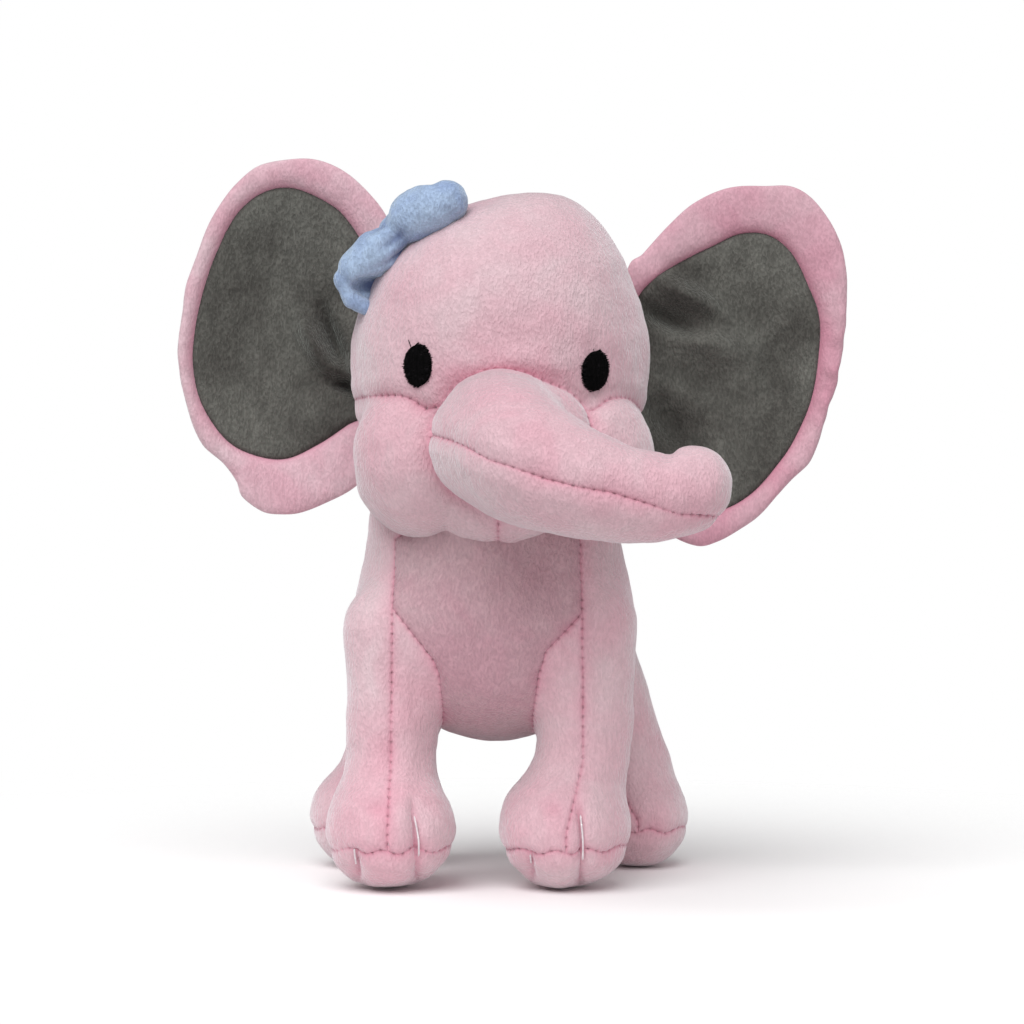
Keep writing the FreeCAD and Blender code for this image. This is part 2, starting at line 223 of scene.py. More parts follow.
def surface(field, low, high, h):
    """The zero surface of field as vertices and triangles."""
    axes = [np.arange(lo, hi + h, h) for lo, hi in zip(low, high)]
    shape = tuple(len(a) for a in axes)
    values = np.empty(shape, np.float32)
    yz = np.stack(np.meshgrid(axes[1], axes[2], indexing="ij"), -1).reshape(-1, 2)
    for i, x in enumerate(axes[0]):
        p = np.column_stack([np.full(len(yz), x), yz])
        values[i] = field(p).reshape(shape[1:])
    values = np.clip(values, -4 * h, 4 * h)
    grid = openvdb.FloatGrid(4.0 * h)
    grid.copyFromArray(values)
    points, quads = grid.convertToQuads(0.0)
    v = points.astype(float) * h + np.array([a[0] for a in axes])
    for _ in range(3):
        v -= gradient(field, v) * field(v)[:, None]
    q = quads.astype(int)
    f = np.concatenate([q[:, [0, 1, 2]], q[:, [0, 2, 3]]])
    a, b, c = v[f[:, 0]], v[f[:, 1]], v[f[:, 2]]
    n = np.cross(b - a, c - a)
    keep = np.linalg.norm(n, axis=1) > 1e-9
    f, n, mid = f[keep], n[keep], ((a + b + c) / 3)[keep]
    if (n * gradient(field, mid)).sum() < 0:
        f = f[:, ::-1]
    return v, f


def cut(v, f, function, snap=0.15):
    """Splits the triangles that cross function's zero, so that no triangle is on both sides."""
    d = function(v)
    d[np.abs(d) < snap] = 0.0
    side = np.sign(d)[f]
    crossing = (side.min(1) < 0) & (side.max(1) > 0)
    new_v, new_f, made = [], [], {}

    def between(i, j):
        key = (min(i, j), max(i, j))
        if key not in made:
            t = d[i] / (d[i] - d[j])
            made[key] = len(v) + len(new_v)
            new_v.append(v[i] + t * (v[j] - v[i]))
        return made[key]
    for tri in f[crossing]:
        loop = []
        for i, j in zip(tri, np.roll(tri, -1)):
            loop.append((i, np.sign(d[i])))
            if d[i] * d[j] < 0:
                loop.append((between(i, j), 0))
        for want in (-1, 1):
            part = [i for i, s in loop if s != -want]
            new_f += [(part[0], part[k], part[k + 1]) for k in range(1, len(part) - 1)]
    v = np.concatenate([v, np.array(new_v).reshape(-1, 3)])
    return v, np.concatenate([f[~crossing], np.array(new_f, int).reshape(-1, 3)])


def refine(v, f, label, close):
    """Halves every edge whose two ends are close, and the triangles with it."""
    corners = np.stack([f, np.roll(f, -1, axis=1)], -1)
    split = close[corners].all(-1)
    pairs = np.sort(corners[split], axis=1)
    unique, which = np.unique(pairs, axis=0, return_inverse=True)
    mids = np.full(split.shape, -1)
    mids[split] = len(v) + which.ravel()
    v = np.concatenate([v, v[unique].mean(1)])
    count = split.sum(1)
    new_f, new_l = [f[count == 0]], [label[count == 0]]
    for k in range(3):
        # corners turned so that the only split edge, or else the only unsplit one, comes first
        order = [k, (k + 1) % 3, (k + 2) % 3]
        one = (count == 1) & split[:, k]
        t, m = f[one][:, order], mids[one][:, k]
        new_f += [np.stack([t[:, 0], m, t[:, 2]], 1), np.stack([m, t[:, 1], t[:, 2]], 1)]
        new_l += [label[one]] * 2
        two = (count == 2) & ~split[:, k]
        t, m1, m2 = f[two][:, order], mids[two][:, order[1]], mids[two][:, order[2]]
        new_f += [np.stack([t[:, 0], t[:, 1], m1], 1), np.stack([t[:, 0], m1, m2], 1),
                  np.stack([m1, t[:, 2], m2], 1)]
        new_l += [label[two]] * 3
    three = count == 3
    t, m = f[three], mids[three]
    new_f += [np.stack([t[:, 0], m[:, 0], m[:, 2]], 1), np.stack([m[:, 0], t[:, 1], m[:, 1]], 1),
              np.stack([m[:, 2], m[:, 1], t[:, 2]], 1), m]
    new_l += [label[three]] * 4
    return v, np.concatenate(new_f), np.concatenate(new_l)


def vertex_normals(v, f):
    """Each vertex's unit normal, from its triangles weighted by area."""
    a, b, c = v[f[:, 0]], v[f[:, 1]], v[f[:, 2]]
    n = np.cross(b - a, c - a)
    out = np.zeros_like(v)
    for k in range(3):
        np.add.at(out, f[:, k], n)
    return out / (np.linalg.norm(out, axis=1)[:, None] + 1e-12)


def edge_chains(v, f, label, is_seam):
    """Arrays (points, arc length) of the edges where labels meet that is_seam(a, b) accepts."""
    corners = np.stack([f, np.roll(f, -1, axis=1)], -1).reshape(-1, 2)
    owner = np.repeat(label, 3)
    pairs, which = np.unique(np.sort(corners, axis=1), axis=0, return_inverse=True)
    which = which.ravel()
    low, high = np.full(len(pairs), 10 ** 6), np.full(len(pairs), -1)
    np.minimum.at(low, which, owner)
    np.maximum.at(high, which, owner)
    links = {}
    for (i, j), a, b in zip(pairs[low != high], low[low != high], high[low != high]):
        if is_seam(a, b):
            links.setdefault(i, []).append(j)
            links.setdefault(j, []).append(i)
    chains, used = [], set()
    for start in sorted(links, key=lambda i: (len(links[i]) == 2, i)):
        for following in links[start]:
            if (start, following) in used:
                continue
            chain, i, j = [start], start, following
            while True:
                used.update({(i, j), (j, i)})
                chain.append(j)
                ahead = [k for k in links[j] if (j, k) not in used]
                if len(links[j]) != 2 or not ahead:
                    break
                i, j = j, ahead[0]
            points = v[chain]
            if len(points) > 3:
                steps = np.linalg.norm(np.diff(points, axis=0), axis=1)
                chains.append((points, np.concatenate([[0], np.cumsum(steps)])))
    return chains


def seam_distance(p, chains):
    """For each point: distance to the nearest seam, at most SEAM_REACH, and arc length there."""
    points, arcs = [], []
    for k, (line, length) in enumerate(chains):
        s = np.arange(0, length[-1], 0.4)
        points.append(np.stack([np.interp(s, length, line[:, i]) for i in range(3)], 1))
        arcs.append(s + 1000 * k)
    points, arcs = np.concatenate(points), np.concatenate(arcs)
    low = np.minimum(p.min(0), points.min(0)) - 2 * SEAM_REACH

    def cell(q):
        return ((q - low) / SEAM_REACH).astype(int)
    flags = np.zeros(cell(np.maximum(p.max(0), points.max(0))) + 3, bool)
    cells = cell(points)
    for shift in np.ndindex(3, 3, 3):
        flags[tuple((cells + np.array(shift) - 1).T)] = True
    near = np.flatnonzero(flags[tuple(cell(p).T)])
    tree = kdtree.KDTree(len(points))
    for i, q in enumerate(points):
        tree.insert(q, i)
    tree.balance()
    found = [tree.find(q) for q in p[near]]
    distance, arc = np.full(len(p), SEAM_REACH), np.zeros(len(p))
    distance[near] = np.minimum([hit[2] for hit in found], SEAM_REACH)
    arc[near] = arcs[[hit[1] for hit in found]]
    return distance, arc


def sew(v, f, label, chains):
    """Refines the mesh near its seams. Returns (v, f, label, shift, tint): how far the cloth stands
    off its surface there, and the shade painted into its colour, in the crease and in the needle holes."""
    for reach in SEAM_REFINED:
        d, _ = seam_distance(v, chains)
        v, f, label = refine(v, f, label, d < reach)
    d, s = seam_distance(v, chains)
    hole_dent_and_shade = np.clip(1.5 * np.cos(s * 2 * math.pi / STITCH) - 0.5, 0, 1) * np.exp(-(d / HOLE_R) ** 2)
    uneven = 1 + 0.35 * noise(v, 14, 71)
    # a narrow groove in a wide shallow one, between two low swells
    shift = (-0.62 * np.exp(-d / 0.7) - 0.28 * np.exp(-d / 3.0)) * uneven - 0.4 * hole_dent_and_shade
    shift += 0.3 * np.exp(-((d - 5.0) / 2.4) ** 2) * (d < SEAM_REACH)
    # painted shade, deeper down in the seam's crease and darker in its needle holes
    crease_shade = 0.55 * np.exp(-d / 0.7) + 0.35 * np.exp(-(d / 5.0) ** 1.5) * uneven
    return v, f, label, shift, {"crease_shade": crease_shade, "hole_dent_and_shade": hole_dent_and_shade * 0.22 * np.clip(uneven, 0, 1.4)}


def mesh_object(name, v, f, material, normals=None, tint=None):
    """An object of the vertices that f uses. tint holds the attributes that the plush reads."""
    used = np.unique(f)
    index = np.full(len(v), -1)
    index[used] = np.arange(len(used))
    mesh = bpy.data.meshes.new(name)
    mesh.from_pydata((v[used] / 1000).tolist(), [], index[f].tolist())
    mesh.polygons.foreach_set("use_smooth", np.ones(len(f), bool))
    mesh.materials.append(material)
    for key, values in (tint or {}).items():
        layer = mesh.attributes.new(key, "FLOAT", "POINT")
        layer.data.foreach_set("value", values[used].astype(np.float32))
    if normals is not None:
        mesh.normals_split_custom_set_from_vertices(normals[used].tolist())
    obj = bpy.data.objects.new(name, mesh)
    bpy.context.collection.objects.link(obj)
    return obj


def grid_mesh(points):
    """Triangles over rows of points, each row closed on itself."""
    rows, cols = points.shape[:2]
    i = np.arange(rows - 1)[:, None]
    j = np.arange(cols)[None, :]
    a = i * cols + j
    b = i * cols + (j + 1) % cols
    c = (i + 1) * cols + (j + 1) % cols
    d = (i + 1) * cols + j
    f = np.concatenate([np.stack([a, b, c], -1).reshape(-1, 3),
                        np.stack([a, c, d], -1).reshape(-1, 3)])
    return points.reshape(-1, 3), f


def thread(line, radius, sides=6):
    """A closed round thread along a line of points."""
    line = np.array(line, float)
    t = np.gradient(line, axis=0)
    t /= np.linalg.norm(t, axis=1)[:, None] + 1e-12
    n = np.cross(t, np.array([0.31, 0.2, 0.93]))
    n /= np.linalg.norm(n, axis=1)[:, None] + 1e-12
    b = np.cross(t, n)
    angles = np.arange(sides) * 2 * math.pi / sides
    r = np.full(len(line), radius)
    r[0] = r[-1] = radius * 0.35
    rings = (line[:, None] + r[:, None, None] * (np.cos(angles)[None, :, None] * n[:, None]
                                                 + np.sin(angles)[None, :, None] * b[:, None]))
    v, f = grid_mesh(rings)
    m = len(line) * sides
    v = np.concatenate([v, line[:1], line[-1:]])
    k = np.arange(sides)
    caps = [np.stack([np.full(sides, m), (k + 1) % sides, k], 1),
            np.stack([np.full(sides, m + 1), m - sides + k, m - sides + (k + 1) % sides], 1)]
    return v, np.concatenate([f[:, ::-1]] + [c[:, ::-1] for c in caps])


def join(parts):
    """One mesh from several (vertices, triangles)."""
    vs, fs, at = [], [], 0
    for v, f in parts:
        vs.append(v)
        fs.append(f + at)
        at += len(v)
    return np.concatenate(vs), np.concatenate(fs)


def soft_piece(nodes):
    """Hides the CAD nodes that a padded piece stands for."""
    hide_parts(*nodes)


# ---- materials ----------------------------------------------------------------------------
class Nodes:
    """A short way to write a material's node tree."""

    def __init__(self, name):
        self.mat = bpy.data.materials.new(name)
        self.mat.use_nodes = True
        self.tree = self.mat.node_tree
        self.bsdf = self.tree.nodes["Principled BSDF"]
        self.coords = self.tree.nodes.new("ShaderNodeTexCoord").outputs["Object"]

    def noise(self, scale, detail=2, stretch=(1, 1, 1), distortion=0.0):
        mapping = self.tree.nodes.new("ShaderNodeMapping")
        mapping.inputs["Scale"].default_value = stretch
        self.tree.links.new(self.coords, mapping.inputs["Vector"])
        tex = self.tree.nodes.new("ShaderNodeTexNoise")
        tex.inputs["Scale"].default_value = scale
        tex.inputs["Detail"].default_value = detail
        tex.inputs["Distortion"].default_value = distortion
        self.tree.links.new(mapping.outputs["Vector"], tex.inputs["Vector"])
        return tex.outputs["Fac"]

    def ramp(self, value, low, high, out_low=0.0, out_high=1.0):
        node = self.tree.nodes.new("ShaderNodeMapRange")
        node.interpolation_type = "SMOOTHSTEP"
        for key, number in (("From Min", low), ("From Max", high),
                            ("To Min", out_low), ("To Max", out_high)):
            node.inputs[key].default_value = number
        self.tree.links.new(value, node.inputs["Value"])
        return node.outputs["Result"]

    def mix(self, a, b, factor, kind="MIX"):
        node = self.tree.nodes.new("ShaderNodeMix")
        node.data_type, node.blend_type = "RGBA", kind
        for value, socket in ((factor, node.inputs[0]), (a, node.inputs[6]), (b, node.inputs[7])):
            if hasattr(value, "is_output"):
                self.tree.links.new(value, socket)
            elif isinstance(value, float):
                socket.default_value = value
            else:
                socket.default_value = (*value, 1)
        return node.outputs[2]

    def attribute(self, name):
        node = self.tree.nodes.new("ShaderNodeAttribute")
        node.attribute_name = name
        return node.outputs["Fac"]


def plush(name, light, dark, crease_shade_colour, sheen, sheen_tint, patch=17.0, grain=0.2, bump=0.3):
    """Short-pile plush: large patches where the nap lies another way, strokes left in the pile, and
    the pile's own fine grain. Shade is painted into its colour: deeper in creases and seams,
    and darker in needle holes."""
    made = Nodes(name)
    bsdf = made.bsdf
    bsdf.inputs["Roughness"].default_value = 0.95
    bsdf.inputs["Specular IOR Level"].default_value = 0.1
    bsdf.inputs["Sheen Weight"].default_value = sheen
    bsdf.inputs["Sheen Roughness"].default_value = 0.38
    bsdf.inputs["Sheen Tint"].default_value = (*sheen_tint, 1)
    patches = made.ramp(made.noise(patch, 2, distortion=0.5), 0.36, 0.64)
    blotches = made.ramp(made.noise(62, 3, distortion=0.8), 0.34, 0.68)
    strokes = made.ramp(made.noise(520, 2, (1, 1, 0.4), 0.8), 0.34, 0.66)
    fine = made.ramp(made.noise(1300, 2, (1, 1, 0.5)), 0.34, 0.66)
    colour = made.mix(dark, light, made.mix(patches, blotches, 0.35))
    shade = made.mix((0.72,) * 3, (1.0,) * 3, fine)
    colour = made.mix(colour, shade, grain, "MULTIPLY")
    colour = made.mix(colour, made.mix((0.8,) * 3, (1.0,) * 3, strokes), grain * 0.9, "MULTIPLY")
    # painted shade: the colour deepens down in creases and seams
    colour = made.mix(colour, crease_shade_colour, made.ramp(made.attribute("crease_shade"), 0.0, 1.1, 0.0, 0.85))
    # painted shade: the colour darkens in the needle holes
    colour = made.mix(colour, tuple(0.12 * c for c in crease_shade_colour), made.attribute("hole_dent_and_shade"))
    made.tree.links.new(colour, bsdf.inputs["Base Color"])
    node = made.tree.nodes.new("ShaderNodeBump")
    node.inputs["Strength"].default_value = bump
    node.inputs["Distance"].default_value = 0.0005
    made.tree.links.new(made.mix(strokes, fine, 0.6), node.inputs["Height"])
    made.tree.links.new(node.outputs["Normal"], bsdf.inputs["Normal"])
    return made.mat


def embroidery(name, light, dark, rough, gloss):
    """Sewing thread: twisted strands that catch a little light, and a few painted glints."""
    made = Nodes(name)
    made.bsdf.inputs["Roughness"].default_value = rough
    made.bsdf.inputs["Specular IOR Level"].default_value = gloss
    twist = made.ramp(made.noise(1800, 2, (1, 1, 0.3)), 0.35, 0.65)
    # painted glints: specks three times as bright as the thread
    painted_glints = made.ramp(made.noise(900, 1), 0.62, 0.74)
    colour = made.mix(made.mix(dark, light, twist), tuple(min(1.0, 3 * c) for c in light), painted_glints)
    made.tree.links.new(colour, made.bsdf.inputs["Base Color"])
    node = made.tree.nodes.new("ShaderNodeBump")
    node.inputs["Strength"].default_value = 0.4
    node.inputs["Distance"].default_value = 0.0002
    made.tree.links.new(twist, node.inputs["Height"])
    made.tree.links.new(node.outputs["Normal"], made.bsdf.inputs["Normal"])
    return made.mat


# each plush has its lit colour, the colour of its nap patches, and the painted shade down in its
# creases;
# SHADED is the belly's, darker for its nap the other way and for the shade under the head painted in;
# the right ear's rim plush is a paler copy of the left's, with the light on that ear painted in
PINK = plush("pink_plush", (0.72, 0.535, 0.575), (0.71, 0.42, 0.485), (0.66, 0.29, 0.375),
             0.9, (0.95, 0.98, 1.0), grain=0.34, bump=0.6)
SHADED = plush("belly_shaded_pink_plush", (0.60, 0.42, 0.455), (0.57, 0.33, 0.385), (0.50, 0.20, 0.27),
               0.55, (0.95, 0.98, 1.0), grain=0.45, bump=0.7)
# a paler copy of the rim plush, with the light on the right ear painted in
LIT_RIM = plush("lit_rim_pink_plush", (0.74, 0.54, 0.59), (0.70, 0.40, 0.475),
                 (0.60, 0.26, 0.35), 0.8, (1.0, 0.95, 0.98), patch=40.0, grain=0.45, bump=0.45)
RIM = plush("rim_pink_plush", (0.66, 0.42, 0.48), (0.62, 0.31, 0.39), (0.55, 0.20, 0.29),
            0.6, (1.0, 0.95, 0.98), patch=40.0, grain=0.42, bump=0.4)
GREY = plush("grey_plush", (0.17, 0.17, 0.153), (0.088, 0.085, 0.077), (0.04, 0.038, 0.035),
             0.3, (0.85, 0.9, 0.85), patch=30.0, grain=0.95, bump=0.8)
BLUE = plush("blue_plush", (0.46, 0.59, 0.79), (0.29, 0.39, 0.63), (0.05, 0.065, 0.20),
             0.9, (0.8, 0.93, 1.0), patch=60.0, grain=0.6, bump=0.7)
BLACK = embroidery("black_embroidery", (0.0035, 0.003, 0.0035), (0.001, 0.001, 0.001), 0.75, 0.05)
WHITE = embroidery("white_thread", (0.80, 0.74, 0.76), (0.66, 0.58, 0.61), 0.5, 0.4)


# ---- head and trunk -----------------------------------------------------------------------
SKULL_C, SKULL_R = np.array([-4.3, 11.0, 177.8]), (51.0, 50.6, 58.9)
CROWN_LEAN = 12.0         # how far the crown leans to the toy's left
TRUNK_LINE = spline([(-3, -20, 150.5, 22.5), (-3.5, -38, 150.3, 22.5), (-3, -54, 148.5, 22.0),
                     (4, -68, 143, 20.2), (18, -76, 136.5, 17.6), (32, -78, 132.6, 15.3),
                     (44, -77, 131.4, 13.9), (53, -74.5, 132.6, 13.3), (56, -73, 134.8, 12.2)], 40)
EYES = {"right": dict(x=-30.8, z=174.9, w=9.6, h=13.9, tilt=4.0),
        "left": dict(x=27.4, z=173.4, w=9.2, h=13.4, tilt=-6.0)}


def head_field(p):
    """Skull, cheeks and chin, without the trunk."""
    q = p - SKULL_C
    q[:, 0] -= CROWN_LEAN * np.clip(q[:, 2] / SKULL_R[2], 0, 1.2) ** 4
    skull = superellipsoid(q, SKULL_R, 2.06)
    cheek_r = ellipsoid(p, (-30, -10, 145.0), (23.6, 26, 26.3))
    cheek_l = ellipsoid(p, (25.0, -10, 145.0), (22.7, 26, 26.0))
    chin = ellipsoid(p, (-4.5, -9, 134.5), (26, 22.5, 20.5))
    lower = smooth_min(smooth_min(cheek_r, cheek_l, 3), chin, 1.5)
    return smooth_min(skull, lower, 2.0)


def trunk_field(p):
    """The trunk with its broad base, and the crease behind its upturned tip."""
    base = ellipsoid(p, (0.5, -30, 150), (27.0, 20, 22.7))
    tip_crease = ridge(p, (47.5, -86, 145), (49.5, -70, 146.5), 1.9)
    return smooth_min(tube(p, TRUNK_LINE), base, 2.5) + 2.2 * tip_crease


def face_field(p):
    return smooth_min(head_field(p), trunk_field(p), 1.6)


def trunk_base(p):
    """Below zero on the trunk's side of the seam round its root."""
    return np.maximum(trunk_field(p) - head_field(p), p[:, 1] + 8)


def trunk_upper(p):
    """Above zero over the seam along the trunk's sides."""
    x = [-26, -16, -7, 0.6, 10, 20, 30, 38, 51, 61, 75]
    z = [151.5, 147.3, 142.4, 139.9, 136.5, 134, 132.4, 129.9, 125.6, 125, 125]
    return p[:, 2] - np.interp(p[:, 0], x, z)


def trunk_tip(p):
    """Above zero on the trunk's outer segment."""
    return (p - np.array([9, -70, 141])) @ np.array([0.78, -0.58, -0.24])


def crown_line(p):
    """Above zero over the seam between the crown and the cheeks, which rises over each cheek."""
    dip = 5.0 * np.exp(-((np.abs(p[:, 0] + 1.2) - 26) / 6.0) ** 2)
    return p[:, 2] - (165.6 - dip - 0.09 * np.clip(p[:, 0] - 38, 0, 20) ** 2)


def chin_line(p):
    return p[:, 0] + 4.6


def back_line(p):
    return p[:, 1] - 30.0


# the number that labels each panel's triangles
HEAD_NAMES = {1: "crown_panel", 2: "cheek_panel_right", 3: "cheek_panel_left",
              4: "back_head_panel_right", 5: "back_head_panel_left",
              10: "trunk_root_upper_panel", 11: "trunk_root_lower_panel",
              20: "trunk_tip_upper_panel", 21: "trunk_tip_lower_panel"}


def head_label(mid):
    back = np.where(chin_line(mid) < 0, 4, 5)
    front = np.where(crown_line(mid) > 0, 1, np.where(chin_line(mid) < 0, 2, 3))
    trunk = np.where(trunk_tip(mid) > 0, 20, 10) + (trunk_upper(mid) < 0)
    return np.where(trunk_base(mid) < 0, trunk, np.where(back_line(mid) > 0, back, front))


def make_head():
    v, f = surface(face_field, (-62, -100, 108), (78, 68, 244), SKIN_GRID)
    for function in (trunk_base, crown_line, back_line, chin_line, trunk_upper, trunk_tip):
        v, f = cut(v, f, function)
    label = head_label(v[f].mean(1))
    # the trunk's two segments are one pair of panels
    plain = ((10, 20), (11, 21))
    chains = edge_chains(v, f, label, lambda a, b: (a, b) not in plain)
    v, f, label, shift, tint = sew(v, f, label, chains)
    n = gradient(face_field, v)
    shift += 0.5 * noise(v, 30, 3) + 0.18 * noise(v, 10, 4) + 0.05 * noise(v, 3.6, 5)
    # the forehead bulges over the trunk's root
    q = (v - np.array([0, -41, 175])) / np.array([28, 12, 5])
    shift += 0.9 * np.exp(-(q ** 2).sum(1))
    # painted shade along the underside of that bulge
    q = (v - np.array([0, -40, 172.5])) / np.array([30, 14, 2.6])
    tint["crease_shade"] += 0.4 * np.exp(-(q ** 2).sum(1))
    v = v + n * shift[:, None]
    normals = vertex_normals(v, f)
    extra = {"crown_panel": ["head_stuffing"], "trunk_root_upper_panel": ["trunk_root_stuffing"],
             "trunk_tip_upper_panel": ["trunk_tip_stuffing"]}
    for key, name in HEAD_NAMES.items():
        obj = mesh_object(name + "_skin", v, f[label == key], PINK, normals, tint)
        soft_piece([name] + extra.get(name, []))
        if key < 10:
            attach(obj, "head")
        elif key < 20:
            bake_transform(obj)
        else:
            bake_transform(obj)


# ---- body and legs ------------------------------------------------------------------------
MIDDLE_X = -6.0           # the body's middle plane
CHEST_SEAMS = (-39.9, 23.4)  # the long seams beside the belly, which run on down the front legs
SOLE_Z = 14.5
LINING_DEPTH = 3.2
LEGS = {
    "front_leg_right": dict(hip=(-41.0, -2, 86), ankle=(-40.8, -1, 44), foot=(-41.0, -5, 21),
                            leg=15.6, foot_r=(21.8, 23.5, 21.5), split=CHEST_SEAMS[0],
                            seam_top=95.0, slope=(0.788, 0.616)),
    "front_leg_left": dict(hip=(25.8, -2, 87), ankle=(24.0, -1, 44), foot=(17.8, -5, 21),
                           leg=16.2, foot_r=(22.0, 23.5, 21.5), split=CHEST_SEAMS[1],
                           seam_top=93.4, slope=(-0.751, 0.662)),
    "rear_leg_right": dict(hip=(-36.0, 57, 76), ankle=(-44.5, 56, 42), foot=(-53.5, 55, 18.5),
                           leg=16.0, foot_r=(19.5, 21.0, 19.0)),
    "rear_leg_left": dict(hip=(27.0, 57, 76), ankle=(40.0, 57, 37), foot=(44.5, 55, 18.0),
                          leg=17.0, foot_r=(19.5, 21.0, 18.8)),
}
# each front foot's two toe clefts, from the middle of the foot; the second is the longer
CLEFTS = {"front_leg_right": (-11.2, 10.2), "front_leg_left": (-11.9, 5.6)}


def leg_field(p, leg):
    """A leg that tapers to its ankle and widens to its foot, flat where it stands."""
    column = round_cone(p, leg["hip"], leg["ankle"], leg["leg"] + 0.8, leg["leg"] - 0.4)
    d = smooth_min(column, ellipsoid(p, leg["foot"], leg["foot_r"]), 9)
    return smooth_max(d, -1.6 - p[:, 2], 6)


def torso_field(p):
    chest = round_cone(p, (-6, 18, 90), (-6, 40, 87), 40.3, 41.0)
    # the shoulders are broader than they are deep
    q = p * np.array([0.82, 1, 1])
    neck = round_cone(q, (-5.2, 16, 94), (-5.2, 16, 121), 40.0, 35.5)
    return smooth_min(chest, neck, 8)


def body_field(p):
    d = torso_field(p)
    for leg in LEGS.values():
        d = smooth_min(d, leg_field(p, leg), 7)
    return d


def leg_limit(leg):
    """Below zero on the leg's side of the seam between it and the torso."""
    def limit(p):
        d = leg_field(p, leg) - torso_field(p)
        if "slope" in leg:
            # the seam runs out onto the chest above the leg's fork
            d = d - 6.0 * np.clip((p[:, 2] - 54) / 18, 0, 1) * (p[:, 1] < 10)
            sx, sz = leg["slope"]
            across = np.maximum((p[:, 0] - leg["split"]) * np.sign(sx), 0) * abs(sx)
            d = np.maximum(d, across + sz * (p[:, 2] - leg["seam_top"]))
        return d
    return limit


def leg_split(leg):
    """Zero on the surface through a leg's front and back seams."""
    hip, ankle, foot = (np.array(leg[k], float) for k in ("hip", "ankle", "foot"))
    top = leg.get("split", hip[0])
    shin = (ankle[0] + top) / 2
    return lambda p: p[:, 0] - np.interp(p[:, 2], [foot[2], ankle[2], hip[2]], [foot[0], shin, top])


def belly_limit(p):
    """Below zero on the belly panel, which is as wide as the chest between its two long seams."""
    sides = np.maximum(CHEST_SEAMS[0] - p[:, 0], p[:, 0] - CHEST_SEAMS[1])
    return np.maximum(sides, (p - np.array([MIDDLE_X, 29, 90])) @ np.array([0, 0.6, 0.8]) - 1.0)


def middle_line(p):
    return p[:, 0] - MIDDLE_X


def sole_line(p):
    return p[:, 2] - (SOLE_Z + 0.8 * np.sin(p[:, 0] * 0.55))


def with_lining(v, f, normals, tint):
    """Adds a closed lining under the torso's skin, which shows where a leg draws a seam open."""
    def field(p):
        return torso_field(p) + LINING_DEPTH
    lining_v, lining_f = surface(field, (-62, -36, 40), (50, 88, 157), 2.5)
    # the lining's colour gets a little painted shade, as it lies down in the gaps
    both = {key: np.concatenate([value, np.full(len(lining_v), 0.3 * (key == "crease_shade"))])
            for key, value in tint.items()}
    return (np.concatenate([v, lining_v]), np.concatenate([f, lining_f + len(v)]),
            np.concatenate([normals, gradient(field, lining_v)]), both)


def make_body():
    v, f = surface(body_field, (-80, -36, -4), (70, 88, 157), SKIN_GRID)
    limits = [leg_limit(leg) for leg in LEGS.values()]
    splits = [leg_split(leg) for leg in LEGS.values()]
    for function in limits + splits + [belly_limit, middle_line, sole_line]:
        v, f = cut(v, f, function)
    mid = v[f].mean(1)
    # 1 to 3 label the torso's panels; a leg's panels are its tens with 0, 1 or 2
    label = np.where(belly_limit(mid) < 0, 1, np.where(middle_line(mid) < 0, 2, 3))
    nearest = np.argmin([leg_field(mid, leg) for leg in LEGS.values()], axis=0)
    for k, (name, limit, split) in enumerate(zip(LEGS, limits, splits)):
        outer = split(mid) * (1 if name.endswith("left") else -1) > 0
        part = np.where(sole_line(mid) < 0, 2, np.where(outer, 0, 1))
        label = np.where((nearest == k) & (limit(mid) < 0), 10 * (k + 1) + part, label)

    def is_seam(a, b):
        # each flank runs on into its legs' outer sides with no seam
        return not (a in (2, 3) and b >= 10)
    chains = edge_chains(v, f, label, is_seam)
    v, f, label, shift, tint = sew(v, f, label, chains)
    n = gradient(body_field, v)
    shift += 0.5 * noise(v, 26, 13) + 0.16 * noise(v, 9, 14) + 0.05 * noise(v, 3.6, 15)
    dent, cleft_shade = toe_dents(v)
    shift += dent
    # painted shade in the toe clefts and dimples
    tint["crease_shade"] += cleft_shade
    v = v + n * shift[:, None]
    v[:, 2] = np.maximum(v[:, 2], 0.1)
    normals = vertex_normals(v, f)
    belly = with_lining(v, f[label == 1], normals, tint)
    # the belly's plush has the shade under the head painted in
    skins = {"belly_panel": (SHADED, belly, ["torso_stuffing"]),
             "flank_panel_right": (PINK, (v, f[label == 2], normals, tint), []),
             "flank_panel_left": (PINK, (v, f[label == 3], normals, tint), [])}
    for name, (material, (skin_v, skin_f, skin_normals, skin_tint), inside) in skins.items():
        obj = mesh_object(name + "_skin", skin_v, skin_f, material, skin_normals, skin_tint)
        soft_piece([name] + inside)
        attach(obj, "torso")
    for k, (name, leg) in enumerate(LEGS.items()):
        for j, part in enumerate(("outer_panel", "inner_panel", "sole")):
            obj = mesh_object(f"{name}_{part}_skin", v, f[label == 10 * (k + 1) + j], PINK,
                              normals, tint)
            soft_piece([f"{name}_{part}"] + ([name + "_stuffing"] if j == 0 else []))
            if j == 2:
                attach(obj, name)
            else:
                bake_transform(obj)


def cleft_run(offset, z):
    """How far a cleft is from the middle of its foot at each height: it leans in above and below."""
    return offset * (0.85 + 0.15 * np.cos((z - 12) / 12))


